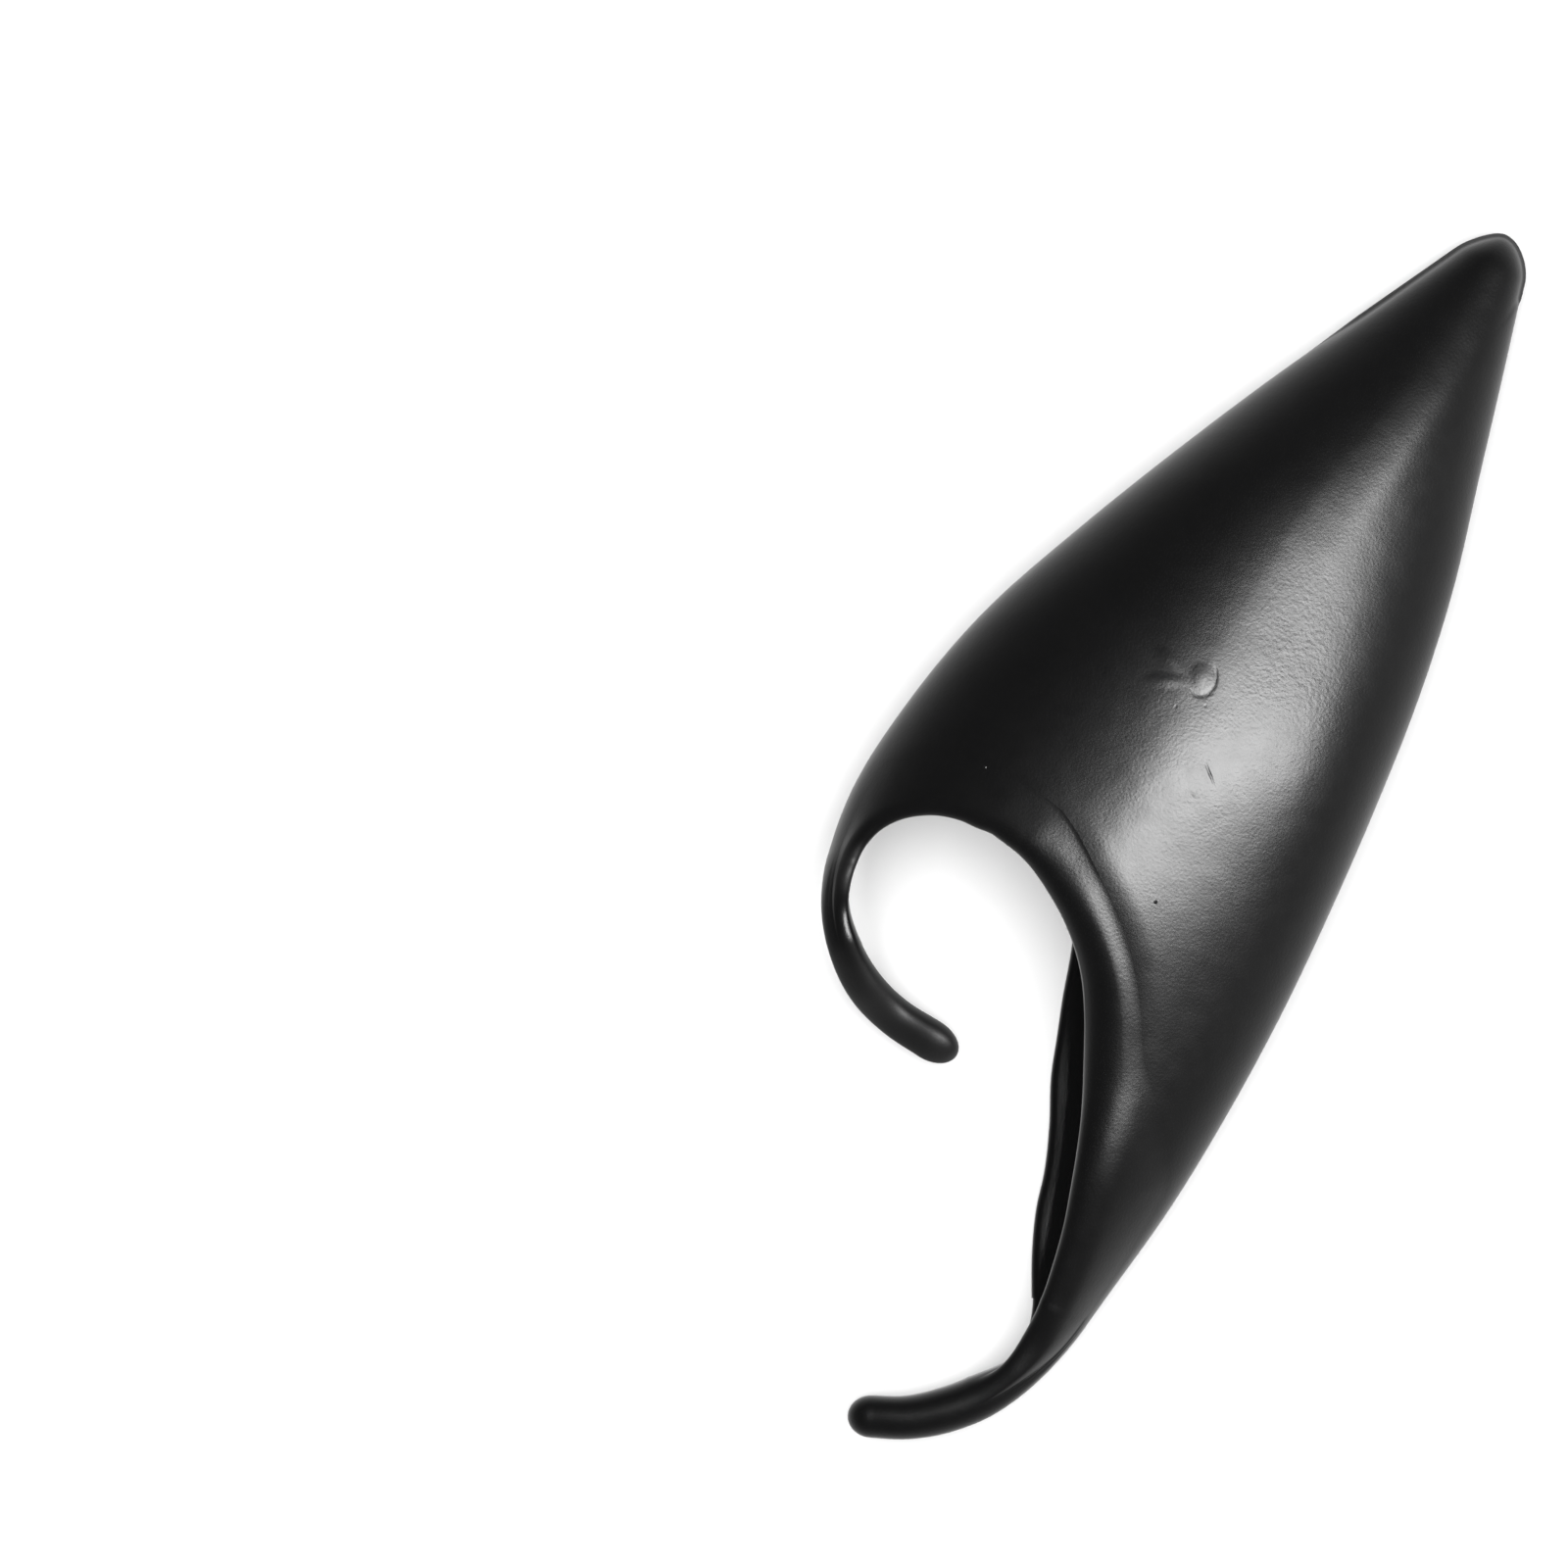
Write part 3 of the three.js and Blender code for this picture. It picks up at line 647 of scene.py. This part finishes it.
# the skin's height, in metres: slow waves, fine grain, and crinkles where the latex set on a rough patch
crinkled = patch(8.4, 17.6, 7, 13, 20, 0.9)
dusty = patch(6.1, 8.1, 7, 17, -10, 0.8)
worn = reckon(tree, "MAXIMUM", patch(-7.2, -24.9, 4.5, 10, 68, 0.6), patch(-18.1, -15.6, 2.5, 3, 0, 0.6))
skin = [
    unevenness(3.2 * MM, 1, 0.035 * MM),
    unevenness(0.26 * MM, 1, 0.011 * MM),
    reckon(tree, "MULTIPLY", unevenness(0.30 * MM, 1, 0.016 * MM), dusty),
    reckon(tree, "MULTIPLY", unevenness(0.42 * MM, 2, 0.030 * MM), crinkled),
]
# scars and specks: place on the part, half width and half length in mm, turn in degrees, and height in mm
marks = columns("across along half_wide half_long turn stands", [
    [5.84, 5.57, 0.18, 1.50, 48, -0.036],
    [5.28, 3.61, 0.50, 0.85, 70, 0.022],
    [2.84, 10.70, 0.22, 0.22, 0, -0.012],
    [0.58, 9.48, 0.22, 0.30, 0, -0.012],
    [6.59, -6.44, 0.20, 0.20, 0, 0.080],
    [-11.85, -2.57, 0.16, 0.22, 0, 0.080],
    [-1.84, 12.90, 0.90, 2.00, 72, 0.045],
    [-1.20, 11.10, 0.90, 2.40, 112, 0.045],
])
for across, along, half_wide, half_long, turn, stands in zip(*marks.values()):
    mark = patch(across, along, half_wide, half_long, turn, 1)
    skin.append(reckon(tree, "MULTIPLY", mark, stands * MM))
relief = tree.nodes.new("ShaderNodeBump")
relief.inputs["Strength"].default_value = 1
relief.inputs["Distance"].default_value = 1
tree.links.new(summed(skin), relief.inputs["Height"])
tree.links.new(relief.outputs["Normal"], surface.inputs["Normal"])
# smeared gloss: wide and small patches about a middle roughness, duller on the crinkles and the worn hook
middle_roughness = 0.32
gloss = summed([unevenness(9 * MM, 2, 0.06), unevenness(1.5 * MM, 2, 0.06),
                reckon(tree, "MULTIPLY", crinkled, 0.02), reckon(tree, "MULTIPLY", worn, 0.24)])
tree.links.new(reckon(tree, "ADD", gloss, middle_roughness), surface.inputs["Roughness"])
shell.data.materials.append(latex)

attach(shell, "root")
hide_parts("ear_tip_shell")


# Floor
# A plain pale sheet of paper on a table, matt and wide enough to fill every view.
# The latex doesn't mirror it: the room's glow from below stands in for it.

floor_mesh = bpy.data.meshes.new("paper_floor")
half = 3.0
corners = [(-half, -half, 0), (half, -half, 0), (half, half, 0), (-half, half, 0)]
floor_mesh.from_pydata(corners, [], [(0, 1, 2, 3)])
floor = bpy.data.objects.new("paper_floor", floor_mesh)
bpy.context.collection.objects.link(floor)
paper = bpy.data.materials.new("white_paper")
paper.use_nodes = True
paper.node_tree.nodes["Principled BSDF"].inputs["Base Color"].default_value = (0.62, 0.62, 0.62, 1)
paper.node_tree.nodes["Principled BSDF"].inputs["Roughness"].default_value = 0.9
floor_mesh.materials.append(paper)
floor.visible_glossy = False
floor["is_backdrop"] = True


# Camera and light
# The photograph looks straight down at the ear tip, which lies with its point up and to the right.
# A wide soft window lies flat overhead to the right and gives only the shine, and a wide ceiling lights
# the paper and adds no shine. A dim room closes round them, brighter near the horizon, to the right and below.

photo_size = 1600  # pixels along the photograph's side
pixel = 0.08591 * MM  # real length of one photograph pixel at the ear's outer fold
ear_middle_right = 339.8 * pixel  # the ear's middle from the photograph's, to the right
ear_middle_down = 17.7 * pixel  # and down
picture_right = np.array([math.cos(ear_lean), math.sin(ear_lean)])
picture_up = np.array([-math.sin(ear_lean), math.cos(ear_lean)])
picture_middle = -ear_middle_right * picture_right + ear_middle_down * picture_up

lens = 250
sensor = 36
camera_data = bpy.data.cameras.new("camera")
camera_data.lens = lens
camera_data.sensor_width = sensor
camera_data.clip_end = 20
camera = bpy.data.objects.new("camera", camera_data)
bpy.context.collection.objects.link(camera)
camera.location = (*picture_middle, back_drop + photo_size * pixel * lens / sensor)  # above the outer fold
camera.rotation_euler = (0, 0, ear_lean)
bpy.context.scene.camera = camera


def softbox(name, right, up, high, width, height, turn, power):
    """A soft flat light that faces straight down, placed by the picture's own right and up."""
    data = bpy.data.lights.new(name, "AREA")
    data.shape = "RECTANGLE"
    data.size, data.size_y = width, height
    data.energy = power
    lamp = bpy.data.objects.new(name, data)
    bpy.context.collection.objects.link(lamp)
    place = picture_right * right + picture_up * up
    lamp.location = (*place, high)
    lamp.rotation_euler = (0, 0, ear_lean + turn)
    lamp.visible_camera = False
    return lamp


window = softbox("window", 0.82, -0.12, 1.20, 1.46, 0.48, math.radians(-8), 42)
window.visible_diffuse = False
ceiling = softbox("ceiling", 0, 0, 2.00, 3.00, 3.00, 0, 165)
ceiling.visible_glossy = False

world = bpy.data.worlds.new("room")
bpy.context.scene.world = world
world.use_nodes = True
room = world.node_tree
direction = room.nodes.new("ShaderNodeTexCoord")
split = room.nodes.new("ShaderNodeSeparateXYZ")
room.links.new(direction.outputs["Generated"], split.inputs["Vector"])
wall_glow, floor_glow, dim_glow = 0.2, 0.8, 0.04  # near the horizon, straight below, and everywhere
right_share = 0.56  # how much more the walls glow on the picture's right

low_down = reckon(room, "SUBTRACT", 1, reckon(room, "MAXIMUM", split.outputs["Z"], 0))
glow = reckon(room, "MULTIPLY", reckon(room, "POWER", low_down, 3), wall_glow)
below = reckon(room, "MAXIMUM", reckon(room, "MULTIPLY", split.outputs["Z"], -floor_glow), 0)
to_right = right_share * picture_right
rightward = reckon(room, "ADD", reckon(room, "MULTIPLY", split.outputs["X"], float(to_right[0])),
                   reckon(room, "MULTIPLY", split.outputs["Y"], float(to_right[1])))
walls = reckon(room, "MULTIPLY", glow, reckon(room, "ADD", rightward, 1))
room_light = reckon(room, "ADD", reckon(room, "ADD", walls, dim_glow), below)
room.links.new(room_light, room.nodes["Background"].inputs["Strength"])
room.nodes["Background"].inputs["Color"].default_value = (1, 1, 1, 1)
bpy.context.scene.view_settings.view_transform = "Standard"

low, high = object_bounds()
